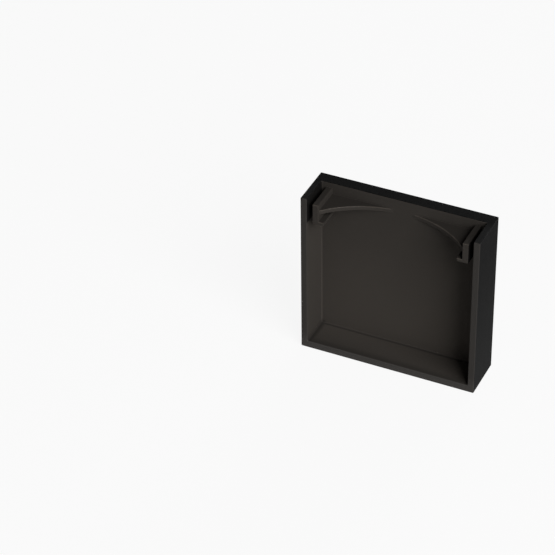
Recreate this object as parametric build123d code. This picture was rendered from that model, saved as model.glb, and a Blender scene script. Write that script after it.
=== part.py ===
import os
from math import sqrt

from build123d import *

# A one-piece moulded cap that closes the end of a U-shaped aluminium profile.
# X runs across the width, Z is up, and Y runs along the profile: the open rim faces -Y
# and the flat outer face +Y. The origin is under the middle of the base.

# Overall size
width = 38.0
height = 37.0
depth = 10.0

# Walls
plate_thickness = 2.85
side_wall = 1.35
bottom_wall = 1.6

# Guide in each top corner: an upright lug, with a slot outside it for the profile's own wall
slot_width = 1.1
lug_thickness = 1.3
lug_height = 4.6
lug_drop = 1.1
lug_setback = 0.3

# Foot along the lower edge of each lug, turned inwards
foot_reach = 1.1
foot_thickness = 0.75

# Web that stiffens each lug from the plate; one wide arc hollows the front of both
web_drop = 2.5
web_thickness = 1.0
web_start = 2.0
arc_radius = 21.0

# Edges
base_radius = 0.2
face_radius = 0.2
edge_radius = 0.15
corner_radius = 0.3
guide_radius = 0.15
web_radius = 0.15

# How far a cut runs past the face that it opens
cut_overrun = 1.0

outer_face = depth / 2
rim = -depth / 2
plate_face = outer_face - plate_thickness
lug_end = rim + lug_setback
lug_outside = width / 2 - side_wall - slot_width
lug_inside = lug_outside - lug_thickness
lug_top = height - lug_drop
lug_foot = lug_top - lug_height
web_top = height - web_drop


# A sketch plane across the profile, from which sketches extrude towards the rim
def upright(position):
    return Plane.XZ.offset(-position)


def blank():
    outline = Pos(0, height / 2) * Rectangle(width, height)
    outline = fillet(outline.vertices().group_by(Axis.Y)[0], base_radius)
    block = extrude(upright(outer_face) * outline, depth)
    return fillet(block.faces().sort_by(Axis.Y)[-1].edges(), face_radius)


def cavity():
    hollow_width = width - 2 * side_wall
    hollow_height = height - bottom_wall + cut_overrun
    outline = Pos(0, bottom_wall + hollow_height / 2) * Rectangle(hollow_width, hollow_height)
    hollow = extrude(upright(plate_face) * outline, plate_face - rim + cut_overrun)
    plate_end = hollow.faces().sort_by(Axis.Y)[-1]
    uprights = hollow.edges().filter_by(Axis.Y).group_by(Axis.Z)[0]
    return fillet(plate_end.edges().sort_by(Axis.Z)[:-1] + uprights, corner_radius)


def tray():
    shell = blank() - cavity()
    rim_edges = shell.faces().sort_by(Axis.Y)[0].edges()
    top_edges = shell.faces().sort_by(Axis.Z)[-1].edges().filter_by(lambda edge: edge not in rim_edges)
    return fillet(rim_edges + top_edges, edge_radius)


# Lug and foot are one bar of constant section, from the plate almost to the rim
def guide():
    section = Polyline(
        (lug_outside, lug_foot),
        (lug_outside, lug_top),
        (lug_inside, lug_top),
        (lug_inside, lug_foot + foot_thickness),
        (lug_inside - foot_reach, lug_foot + foot_thickness),
        (lug_inside - foot_reach, lug_foot),
        close=True,
    )
    bar = extrude(upright(plate_face) * make_face(section), plate_face - lug_end)
    end_edges = bar.faces().sort_by(Axis.Y)[0].edges()
    top_edges = bar.faces().sort_by(Axis.Z)[-1].edges().filter_by(Axis.Y)
    return fillet(end_edges + top_edges, guide_radius)


# One strip with its back sunk in the plate. The arc meets the plate at web_start on each side
# of the middle, so two corner webs stand clear of it.
def webs():
    back = plate_face + plate_thickness / 2
    reach = back - lug_end
    plan = Pos(0, back - reach / 2) * Rectangle(2 * lug_inside, reach)
    arc_centre = plate_face - sqrt(arc_radius**2 - web_start**2)
    plan -= Pos(0, arc_centre) * Circle(arc_radius)
    strip = extrude(Pos(0, 0, web_top) * plan, -web_thickness)
    return fillet(strip.edges().filter_by(GeomType.CIRCLE), web_radius)


def end_cap():
    right_guide = guide()
    return tray() + right_guide + mirror(right_guide, Plane.YZ) + webs()


cap = end_cap()
os.makedirs("parts", exist_ok=True)
export_step(cap, "parts/end_cap.step")
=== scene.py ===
import math

import bpy
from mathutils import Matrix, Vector

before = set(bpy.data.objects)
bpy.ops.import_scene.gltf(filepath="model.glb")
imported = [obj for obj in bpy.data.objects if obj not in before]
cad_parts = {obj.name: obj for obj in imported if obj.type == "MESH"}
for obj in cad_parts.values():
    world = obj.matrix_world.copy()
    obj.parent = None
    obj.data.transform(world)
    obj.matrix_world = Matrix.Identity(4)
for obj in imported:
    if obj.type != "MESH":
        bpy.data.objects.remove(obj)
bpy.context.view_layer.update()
print("frame loaded")

millimetre = 0.001


# hex colour as it looks on a screen, turned to the linear values that Blender mixes
def linearColour(hexCode):
    channels = [int(hexCode[i:i + 2], 16) / 255 for i in (1, 3, 5)]
    return [c / 12.92 if c <= 0.04045 else ((c + 0.055) / 1.055) ** 2.4 for c in channels] + [1.0]


# adds one node with its settings, and links or sets its inputs by socket name or number
def addNode(tree, kind, settings=None, inputs=None):
    node = tree.nodes.new(kind)
    for name, value in (settings or {}).items():
        setattr(node, name, value)
    for socket, value in (inputs or {}).items():
        if isinstance(value, bpy.types.NodeSocket):
            tree.links.new(value, node.inputs[socket])
        else:
            node.inputs[socket].default_value = value
    return node


def newTree(name):
    material = bpy.data.materials.new(name)
    material.use_nodes = True
    material.node_tree.nodes.clear()
    return material, material.node_tree


# The cap is ABS dyed black right through and injection moulded. The outside comes from a matt
# cavity and looks deep and neutral. The broad back of the plate is painted paler, as painted
# light, and the core side is paler and warmer than the outside. All of them are painted slowly
# paler towards the foot, as painted light. The slots are painted nearly as dark as the outside, as
# painted shade. The grain of the mould spreads the shine thin, and only the roundings are smooth
# enough to catch it.
# Lengths are in mm, and shares go from 0 to 1.
cap = {
    # the foot colours are painted light, paler towards the foot
    "outerColour": "#080808", "outerFootPaintedLightColour": "#161616",
    # painted light: the back of the plate is paler
    "backPaintedLightColour": "#1d1d1d", "backFootPaintedLightColour": "#323232",
    "innerColour": "#312e2b", "innerFootPaintedLightColour": "#3e3a36",
    "rimColour": "#32302e", "rimFootPaintedLightColour": "#3c3a38",
    # painted light on the tops of the side walls
    "wallTopPaintedLightColour": "#141414",
    # painted highlight on the upward front roundings of the lugs, feet and webs
    "paintedHighlightColour": "#423d38",
    # painted shade in the corners
    "creaseShadeColour": "#262422",
    "ior": 1.5,
    "shine": 0.047,
    "outerRoughness": 0.8,
    "innerRoughness": 0.85,
    "roughnessSpread": 0.06,
    "edgeSmoother": 0.65,  # how much less rough the roundings are
    "edgeTurn": 0.2,       # up share times out share of the slope where the full smoothness starts
    "highlightOpenness": 0.6,   # how far an edge faces the opening where it is fully pale
    "grainSize": 0.4,      # the mould's own grain is near 0.1 mm, drawn coarser so that it shows
    "grainDetail": 2.0,
    "grainDepth": 0.003,
    "grainStrength": 1.0,
    "flowSize": 9.0,       # the slow clouds that the melt leaves
    "flowDetail": 1.0,
    "flowSpread": 0.08,
    # heights at which the painted light towards the foot starts and is full
    "deepAbove": 32.0, "paleBelow": 4.0,
    "rimDeepAbove": 4.0, "rimPaleBelow": 1.0,
    # painted light: the inner faces across the plate keep a share of the paleness towards the foot
    "wallPaintedFootLight": 0.3,   # share that the inner faces across the plate keep at any height
    # painted light: the bottom wall inside turns paler between these two depths, by this share
    "floorDeepAt": -4.5, "floorPaleAt": 1.5, "floorPaintedLight": 0.75,
    "backTurnFrom": 0.5, "backTurnTo": 0.95,  # how squarely a face looks back
    # where the finishes change
    "insideHalfWidth": 17.7, "insideBottom": 1.55, "insideBack": 2.2, "rimFront": -4.9,
    "guideBottom": 31.2, "guideBack": 2.1, "slotFrom": 16.5, "wallTopPaleAt": 0.0,
    "topsUpright": 0.9,    # least up share of a face that counts as a top
    # painted shade: the sides and tops of the lugs and webs, and the slots, are painted darker
    "guideSidePaintedShade": 0.27, "guideTopPaintedShade": 0.36, "slotPaintedShade": 0.9,
    # painted shade: dark lines in the corners round the bottom and behind the rim
    "creaseHalfWidth": 17.3, "creaseBack": 1.85, "creaseHeight": 1.6,
    "wallReach": 1.1, "wallShare": 0.8,
    "plateReach": 0.45, "plateShare": 0.75,
    "lipLine": -4.6, "lipReach": 1.8, "lipShare": 0.5,
}


# what the finish depends on at each spot: where it lies, which way it faces, how low it is, and
# whether it is on a guide or a rounding
def readSpot(tree):
    place = addNode(tree, "ShaderNodeTexCoord").outputs["Object"]
    inMillimetres = addNode(tree, "ShaderNodeVectorMath", {"operation": "SCALE"}, {
        0: place, "Scale": 1 / millimetre})
    split = addNode(tree, "ShaderNodeSeparateXYZ", inputs={"Vector": inMillimetres.outputs[0]})
    across = addNode(tree, "ShaderNodeMath", {"operation": "ABSOLUTE"}, {0: split.outputs["X"]})
    # painted light: how far a face turns paler towards the foot
    paintedFootLight = addNode(tree, "ShaderNodeMapRange", inputs={
        "Value": split.outputs["Z"],
        "From Min": cap["deepAbove"], "From Max": cap["paleBelow"]})

    geometry = addNode(tree, "ShaderNodeNewGeometry")
    facing = addNode(tree, "ShaderNodeSeparateXYZ", inputs={
        "Vector": geometry.outputs["Normal"]})
    # 1 on a face towards the opening, 0 on one across it
    openness = addNode(tree, "ShaderNodeMath", {"operation": "ABSOLUTE"}, {
        0: facing.outputs["Y"]})
    facingUp = addNode(tree, "ShaderNodeMath", {"operation": "GREATER_THAN"}, {
        0: facing.outputs["Z"], 1: cap["topsUpright"]})
    # a rounding at the top of a face turns from up to out
    upness = addNode(tree, "ShaderNodeMath", {"operation": "MAXIMUM"}, {
        0: facing.outputs["Z"], 1: 0.0})
    outness = addNode(tree, "ShaderNodeMath", {"operation": "SUBTRACT"}, {
        0: 1.0, 1: upness.outputs[0]})
    slope = addNode(tree, "ShaderNodeMath", {"operation": "MULTIPLY"}, {
        0: upness.outputs[0], 1: outness.outputs[0]})
    rounding = addNode(tree, "ShaderNodeMapRange", inputs={
        "Value": slope.outputs[0], "From Max": cap["edgeTurn"]})

    # lugs, feet and webs
    aboveGuideBottom = addNode(tree, "ShaderNodeMath", {"operation": "GREATER_THAN"}, {
        0: split.outputs["Z"], 1: cap["guideBottom"]})
    beforeGuideBack = addNode(tree, "ShaderNodeMath", {"operation": "LESS_THAN"}, {
        0: split.outputs["Y"], 1: cap["guideBack"]})
    guides = addNode(tree, "ShaderNodeMath", {"operation": "MULTIPLY"}, {
        0: aboveGuideBottom.outputs[0], 1: beforeGuideBack.outputs[0]})
    return {
        "place": place,
        "across": across.outputs[0], "depth": split.outputs["Y"], "height": split.outputs["Z"],
        "paintedFootLight": paintedFootLight.outputs[0], "facingBack": facing.outputs["Y"],
        "openness": openness.outputs[0], "facingUp": facingUp.outputs[0],
        "rounding": rounding.outputs[0], "guides": guides.outputs[0],
    }


# 1 on the core side of the mould and 0 on the outside, less painted shade: the sides of the lugs
# and webs are painted darker than the rest of the inside, their tops and the slots more so
def coreSideMinusPaintedShade(tree, spot):
    betweenWalls = addNode(tree, "ShaderNodeMath", {"operation": "LESS_THAN"}, {
        0: spot["across"], 1: cap["insideHalfWidth"]})
    beforePlate = addNode(tree, "ShaderNodeMath", {"operation": "LESS_THAN"}, {
        0: spot["depth"], 1: cap["insideBack"]})
    aboveBottom = addNode(tree, "ShaderNodeMath", {"operation": "GREATER_THAN"}, {
        0: spot["height"], 1: cap["insideBottom"]})
    channel = addNode(tree, "ShaderNodeMath", {"operation": "MULTIPLY"}, {
        0: betweenWalls.outputs[0], 1: beforePlate.outputs[0]})
    cavity = addNode(tree, "ShaderNodeMath", {"operation": "MULTIPLY"}, {
        0: channel.outputs[0], 1: aboveBottom.outputs[0]})

    # painted shade on the tops and sides of the lugs and webs
    tops = addNode(tree, "ShaderNodeMath", {"operation": "MULTIPLY"}, {
        0: spot["facingUp"], 1: cap["guideTopPaintedShade"]})
    sides = addNode(tree, "ShaderNodeMapRange", inputs={
        "Value": spot["openness"], "To Min": cap["guideSidePaintedShade"], "To Max": 0.0})
    topsAndSides = addNode(tree, "ShaderNodeMath", {"operation": "MAXIMUM"}, {
        0: tops.outputs[0], 1: sides.outputs[0]})
    guidePaintedShade = addNode(tree, "ShaderNodeMath", {"operation": "MULTIPLY"}, {
        0: spot["guides"], 1: topsAndSides.outputs[0]})
    # painted shade: the slots are painted nearly as dark as the outside
    besideLug = addNode(tree, "ShaderNodeMath", {"operation": "GREATER_THAN"}, {
        0: spot["across"], 1: cap["slotFrom"]})
    slots = addNode(tree, "ShaderNodeMath", {"operation": "MULTIPLY"}, {
        0: besideLug.outputs[0], 1: spot["guides"]})
    slotPaintedShadeShare = addNode(tree, "ShaderNodeMath", {"operation": "MULTIPLY"}, {
        0: slots.outputs[0], 1: cap["slotPaintedShade"]})
    paintedShade = addNode(tree, "ShaderNodeMath", {"operation": "MAXIMUM"}, {
        0: guidePaintedShade.outputs[0], 1: slotPaintedShadeShare.outputs[0]})
    kept = addNode(tree, "ShaderNodeMath", {"operation": "SUBTRACT"}, {
        0: 1.0, 1: paintedShade.outputs[0]})
    coreSideLessShade = addNode(tree, "ShaderNodeMath", {"operation": "MULTIPLY"}, {
        0: cavity.outputs[0], 1: kept.outputs[0]})
    return coreSideLessShade.outputs[0]


# painted shade: soft dark lines in the corners beside the walls and the plate, and just behind the
# rim
def paintedCreaseShade(tree, spot):
    overBottom = addNode(tree, "ShaderNodeMath", {"operation": "SUBTRACT"}, {
        0: spot["height"], 1: cap["creaseHeight"]})
    lines = []
    for way, middle, reach, share in (
            ("across", cap["creaseHalfWidth"], cap["wallReach"], cap["wallShare"]),
            ("depth", cap["creaseBack"], cap["plateReach"], cap["plateShare"]),
            ("depth", cap["lipLine"], cap["lipReach"], cap["lipShare"])):
        away = addNode(tree, "ShaderNodeMath", {"operation": "SUBTRACT"}, {
            0: spot[way], 1: middle})
        offset = addNode(tree, "ShaderNodeCombineXYZ", inputs={
            "X": away.outputs[0], "Y": overBottom.outputs[0]})
        distance = addNode(tree, "ShaderNodeVectorMath", {"operation": "LENGTH"}, {
            0: offset.outputs[0]})
        lines.append(addNode(tree, "ShaderNodeMapRange", {"interpolation_type": "SMOOTHSTEP"}, {
            "Value": distance.outputs["Value"],
            "From Min": reach, "From Max": 0.0, "To Max": share}))
    corners = addNode(tree, "ShaderNodeMath", {"operation": "MAXIMUM"}, {
        0: lines[0].outputs[0], 1: lines[1].outputs[0]})
    crease = addNode(tree, "ShaderNodeMath", {"operation": "MAXIMUM"}, {
        0: corners.outputs[0], 1: lines[2].outputs[0]})
    return crease.outputs[0]


def outsideColour(tree, spot):
    # painted light on the outer faces, paler towards the foot
    sides = addNode(tree, "ShaderNodeMix", {"data_type": "RGBA"}, {
        0: spot["paintedFootLight"],
        6: linearColour(cap["outerColour"]), 7: linearColour(cap["outerFootPaintedLightColour"])})
    # painted light: faces that look back are paler
    paintedBackLight = addNode(tree, "ShaderNodeMapRange", inputs={
        "Value": spot["facingBack"],
        "From Min": cap["backTurnFrom"], "From Max": cap["backTurnTo"]})
    back = addNode(tree, "ShaderNodeMix", {"data_type": "RGBA"}, {
        0: spot["paintedFootLight"],
        6: linearColour(cap["backPaintedLightColour"]), 7: linearColour(cap["backFootPaintedLightColour"])})
    sidesAndBack = addNode(tree, "ShaderNodeMix", {"data_type": "RGBA"}, {
        0: paintedBackLight.outputs[0], 6: sides.outputs[2], 7: back.outputs[2]})
    # painted light: the tops of the side walls turn a little paler from the plate towards the rim
    besideChannel = addNode(tree, "ShaderNodeMath", {"operation": "GREATER_THAN"}, {
        0: spot["across"], 1: cap["insideHalfWidth"]})
    onWallTop = addNode(tree, "ShaderNodeMath", {"operation": "MULTIPLY"}, {
        0: besideChannel.outputs[0], 1: spot["facingUp"]})
    fromPlate = addNode(tree, "ShaderNodeMapRange", inputs={
        "Value": spot["depth"],
        "From Min": cap["insideBack"], "From Max": cap["wallTopPaleAt"]})
    paintedWallTopLight = addNode(tree, "ShaderNodeMath", {"operation": "MULTIPLY"}, {
        0: onWallTop.outputs[0], 1: fromPlate.outputs[0]})
    outside = addNode(tree, "ShaderNodeMix", {"data_type": "RGBA"}, {
        0: paintedWallTopLight.outputs[0],
        6: sidesAndBack.outputs[2], 7: linearColour(cap["wallTopPaintedLightColour"])})
    return outside.outputs[2]


def insideColour(tree, spot):
    # painted light: towards the foot the inside turns paler only where it faces the opening, and
    # the bottom wall turns paler towards the plate
    paintedFootLightShare = addNode(tree, "ShaderNodeMix", inputs={
        0: spot["openness"], 2: cap["wallPaintedFootLight"], 3: spot["paintedFootLight"]})
    towardsPlate = addNode(tree, "ShaderNodeMapRange", inputs={
        "Value": spot["depth"],
        "From Min": cap["floorDeepAt"], "From Max": cap["floorPaleAt"],
        "To Max": cap["floorPaintedLight"]})
    topShare = addNode(tree, "ShaderNodeMath", {"operation": "MULTIPLY"}, {
        0: spot["facingUp"], 1: towardsPlate.outputs[0]})
    floorPaintedLightShare = addNode(tree, "ShaderNodeMath", {"operation": "MULTIPLY"}, {
        0: topShare.outputs[0], 1: spot["paintedFootLight"]})
    paintedLightShare = addNode(tree, "ShaderNodeMath", {"operation": "ADD"}, {
        0: paintedFootLightShare.outputs[0], 1: floorPaintedLightShare.outputs[0]})
    flow = addNode(tree, "ShaderNodeTexNoise", inputs={
        "Vector": spot["place"], "Scale": 1 / (cap["flowSize"] * millimetre),
        "Detail": cap["flowDetail"]})
    clouds = addNode(tree, "ShaderNodeMapRange", inputs={
        "Value": flow.outputs["Fac"],
        "To Min": -cap["flowSpread"], "To Max": cap["flowSpread"]})
    clouded = addNode(tree, "ShaderNodeMath", {"operation": "ADD", "use_clamp": True}, {
        0: paintedLightShare.outputs[0], 1: clouds.outputs[0]})
    faces = addNode(tree, "ShaderNodeMix", {"data_type": "RGBA"}, {
        0: clouded.outputs[0],
        6: linearColour(cap["innerColour"]), 7: linearColour(cap["innerFootPaintedLightColour"])})

    # a painted highlight makes the upward front roundings of the lugs, feet and webs paler
    highlightFacing = addNode(tree, "ShaderNodeMapRange", inputs={
        "Value": spot["openness"], "From Max": cap["highlightOpenness"], "To Max": spot["guides"]})
    guideHighlight = addNode(tree, "ShaderNodeMath", {"operation": "MULTIPLY"}, {
        0: highlightFacing.outputs[0], 1: spot["rounding"]})
    highlighted = addNode(tree, "ShaderNodeMix", {"data_type": "RGBA"}, {
        0: guideHighlight.outputs[0], 6: faces.outputs[2], 7: linearColour(cap["paintedHighlightColour"])})
    creaseShaded = addNode(tree, "ShaderNodeMix", {"data_type": "RGBA"}, {
        0: paintedCreaseShade(tree, spot), 6: highlighted.outputs[2], 7: linearColour(cap["creaseShadeColour"])})
    return creaseShaded.outputs[2]


def mouldedAbs():
    material, tree = newTree("mouldedBlackAbs")
    spot = readSpot(tree)
    coreSideLessShade = coreSideMinusPaintedShade(tree, spot)

    inAndOut = addNode(tree, "ShaderNodeMix", {"data_type": "RGBA"}, {
        0: coreSideLessShade, 6: outsideColour(tree, spot), 7: insideColour(tree, spot)})
    onRim = addNode(tree, "ShaderNodeMath", {"operation": "LESS_THAN"}, {
        0: spot["depth"], 1: cap["rimFront"]})
    # painted light: the rim turns paler towards the foot
    rimPaintedFootLight = addNode(tree, "ShaderNodeMapRange", inputs={
        "Value": spot["height"],
        "From Min": cap["rimDeepAbove"], "From Max": cap["rimPaleBelow"]})
    rim = addNode(tree, "ShaderNodeMix", {"data_type": "RGBA"}, {
        0: rimPaintedFootLight.outputs[0],
        6: linearColour(cap["rimColour"]), 7: linearColour(cap["rimFootPaintedLightColour"])})
    colour = addNode(tree, "ShaderNodeMix", {"data_type": "RGBA"}, {
        0: onRim.outputs[0], 6: inAndOut.outputs[2], 7: rim.outputs[2]})

    grain = addNode(tree, "ShaderNodeTexNoise", inputs={
        "Vector": spot["place"], "Scale": 1 / (cap["grainSize"] * millimetre),
        "Detail": cap["grainDetail"]})
    baseRoughness = addNode(tree, "ShaderNodeMapRange", inputs={
        "Value": coreSideLessShade, "To Min": cap["outerRoughness"], "To Max": cap["innerRoughness"]})
    spread = addNode(tree, "ShaderNodeMapRange", inputs={
        "Value": grain.outputs["Fac"],
        "To Min": -cap["roughnessSpread"], "To Max": cap["roughnessSpread"]})
    grained = addNode(tree, "ShaderNodeMath", {"operation": "ADD"}, {
        0: baseRoughness.outputs[0], 1: spread.outputs[0]})
    smoother = addNode(tree, "ShaderNodeMath", {"operation": "MULTIPLY"}, {
        0: spot["rounding"], 1: cap["edgeSmoother"]})
    roughness = addNode(tree, "ShaderNodeMath", {"operation": "SUBTRACT"}, {
        0: grained.outputs[0], 1: smoother.outputs[0]})
    bump = addNode(tree, "ShaderNodeBump", inputs={
        "Strength": cap["grainStrength"], "Distance": cap["grainDepth"] * millimetre,
        "Height": grain.outputs["Fac"]})
    shader = addNode(tree, "ShaderNodeBsdfPrincipled", inputs={
        "Base Color": colour.outputs[2], "Roughness": roughness.outputs[0],
        "Normal": bump.outputs["Normal"],
        "IOR": cap["ior"], "Specular IOR Level": cap["shine"]})
    addNode(tree, "ShaderNodeOutputMaterial", inputs={"Surface": shader.outputs[0]})
    return material


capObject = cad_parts["end_cap"]
capObject.data.materials.clear()
capObject.data.materials.append(mouldedAbs())
print("cap dressed")


# White paper floor and a low round backdrop, in metres. To the camera and in reflections both are
# mostly plain white, and what is left of the lit paper keeps the shadow.
paper = {
    "colour": "#d0d0d0",
    "roughness": 0.9,
    "shine": 0.0,
    "ownColour": "#ffffff",
    "ownWhite": 0.9,  # share of the plain white
    "ownStrength": 1.0,
    "floorSize": 4.4,
    "backdropRadius": 2.0, "backdropHeight": 0.5, "backdropSides": 96,
}


def whitePaper():
    material, tree = newTree("whitePaper")
    rays = addNode(tree, "ShaderNodeLightPath")
    seen = addNode(tree, "ShaderNodeMath", {"operation": "ADD"}, {
        0: rays.outputs["Is Camera Ray"], 1: rays.outputs["Is Glossy Ray"]})
    seenOrThrough = addNode(tree, "ShaderNodeMath", {"operation": "ADD"}, {
        0: seen.outputs[0], 1: rays.outputs["Is Transmission Ray"]})
    share = addNode(tree, "ShaderNodeMath", {"operation": "MULTIPLY", "use_clamp": True}, {
        0: seenOrThrough.outputs[0], 1: paper["ownWhite"]})
    lit = addNode(tree, "ShaderNodeBsdfPrincipled", inputs={
        "Base Color": linearColour(paper["colour"]), "Roughness": paper["roughness"],
        "Specular IOR Level": paper["shine"]})
    white = addNode(tree, "ShaderNodeEmission", inputs={
        "Color": linearColour(paper["ownColour"]), "Strength": paper["ownStrength"]})
    mix = addNode(tree, "ShaderNodeMixShader", inputs={
        0: share.outputs[0], 1: lit.outputs[0], 2: white.outputs[0]})
    addNode(tree, "ShaderNodeOutputMaterial", inputs={"Surface": mix.outputs[0]})
    return material


def makeStage():
    material = whitePaper()
    bpy.ops.object.select_all(action="DESELECT")
    bpy.ops.mesh.primitive_plane_add(size=paper["floorSize"], location=(0, 0, 0))
    floor = bpy.context.object
    floor.name = "floor"
    bpy.ops.object.select_all(action="DESELECT")
    bpy.ops.mesh.primitive_cylinder_add(
        vertices=paper["backdropSides"], radius=paper["backdropRadius"],
        depth=paper["backdropHeight"], end_fill_type="NOTHING",
        location=(0, 0, paper["backdropHeight"] / 2))
    bpy.ops.object.transform_apply(location=True, rotation=False, scale=False)
    backdrop = bpy.context.object
    backdrop.name = "backdrop"
    for piece in (floor, backdrop):
        piece.data.materials.append(material)


makeStage()
print("floor and backdrop ready")

# Lamps by turn from the front and rise above the floor, in degrees, and distance in metres. At
# level 1 a white card that faces the lamp looks white.
studio = {
    "aim": (0, 0, 0.018),
    "airColour": "#ffffff", "airStrength": 0.08,
    "key": {"turn": 57, "rise": 32, "distance": 1.3, "size": 0.9, "level": 1.47},
    "back": {"turn": 180, "rise": 3, "distance": 1.3, "size": 0.6, "level": 1.3},
}
camera = {
    "place": (0.14883505, -0.36627292, 0.31429205),
    "turn": (53.307773, 0.655214, 25.107352),
    "lens": 159.595760,
    "sensor": 36.0,
    "nearest": 0.01, "farthest": 50.0,
}


def makeWorld():
    world = bpy.data.worlds.new("studioAir")
    bpy.context.scene.world = world
    world.use_nodes = True
    tree = world.node_tree
    tree.nodes.clear()
    air = addNode(tree, "ShaderNodeBackground", inputs={
        "Color": linearColour(studio["airColour"]), "Strength": studio["airStrength"]})
    addNode(tree, "ShaderNodeOutputWorld", inputs={"Surface": air.outputs[0]})


def makeLamp(name):
    lamp = studio[name]
    turn, rise = math.radians(lamp["turn"]), math.radians(lamp["rise"])
    towards = Vector((
        math.sin(turn) * math.cos(rise), -math.cos(turn) * math.cos(rise), math.sin(rise)))
    bpy.ops.object.light_add(
        type="AREA", location=Vector(studio["aim"]) + lamp["distance"] * towards,
        rotation=towards.to_track_quat("Z", "Y").to_euler())
    lampObject = bpy.context.object
    lampObject.name = name + "Lamp"
    lampObject.data.shape = "SQUARE"
    lampObject.data.size = lamp["size"]
    lampObject.data.energy = lamp["level"] * (math.pi * lamp["distance"]) ** 2


def makeCamera():
    turn = [math.radians(angle) for angle in camera["turn"]]
    bpy.ops.object.camera_add(location=camera["place"], rotation=turn)
    view = bpy.context.object
    view.data.sensor_width = camera["sensor"]
    view.data.lens = camera["lens"]
    view.data.clip_start = camera["nearest"]
    view.data.clip_end = camera["farthest"]
    bpy.context.scene.camera = view


makeWorld()
makeLamp("key")
makeLamp("back")
makeCamera()
bpy.context.scene.view_settings.view_transform = "Standard"
print("studio ready")
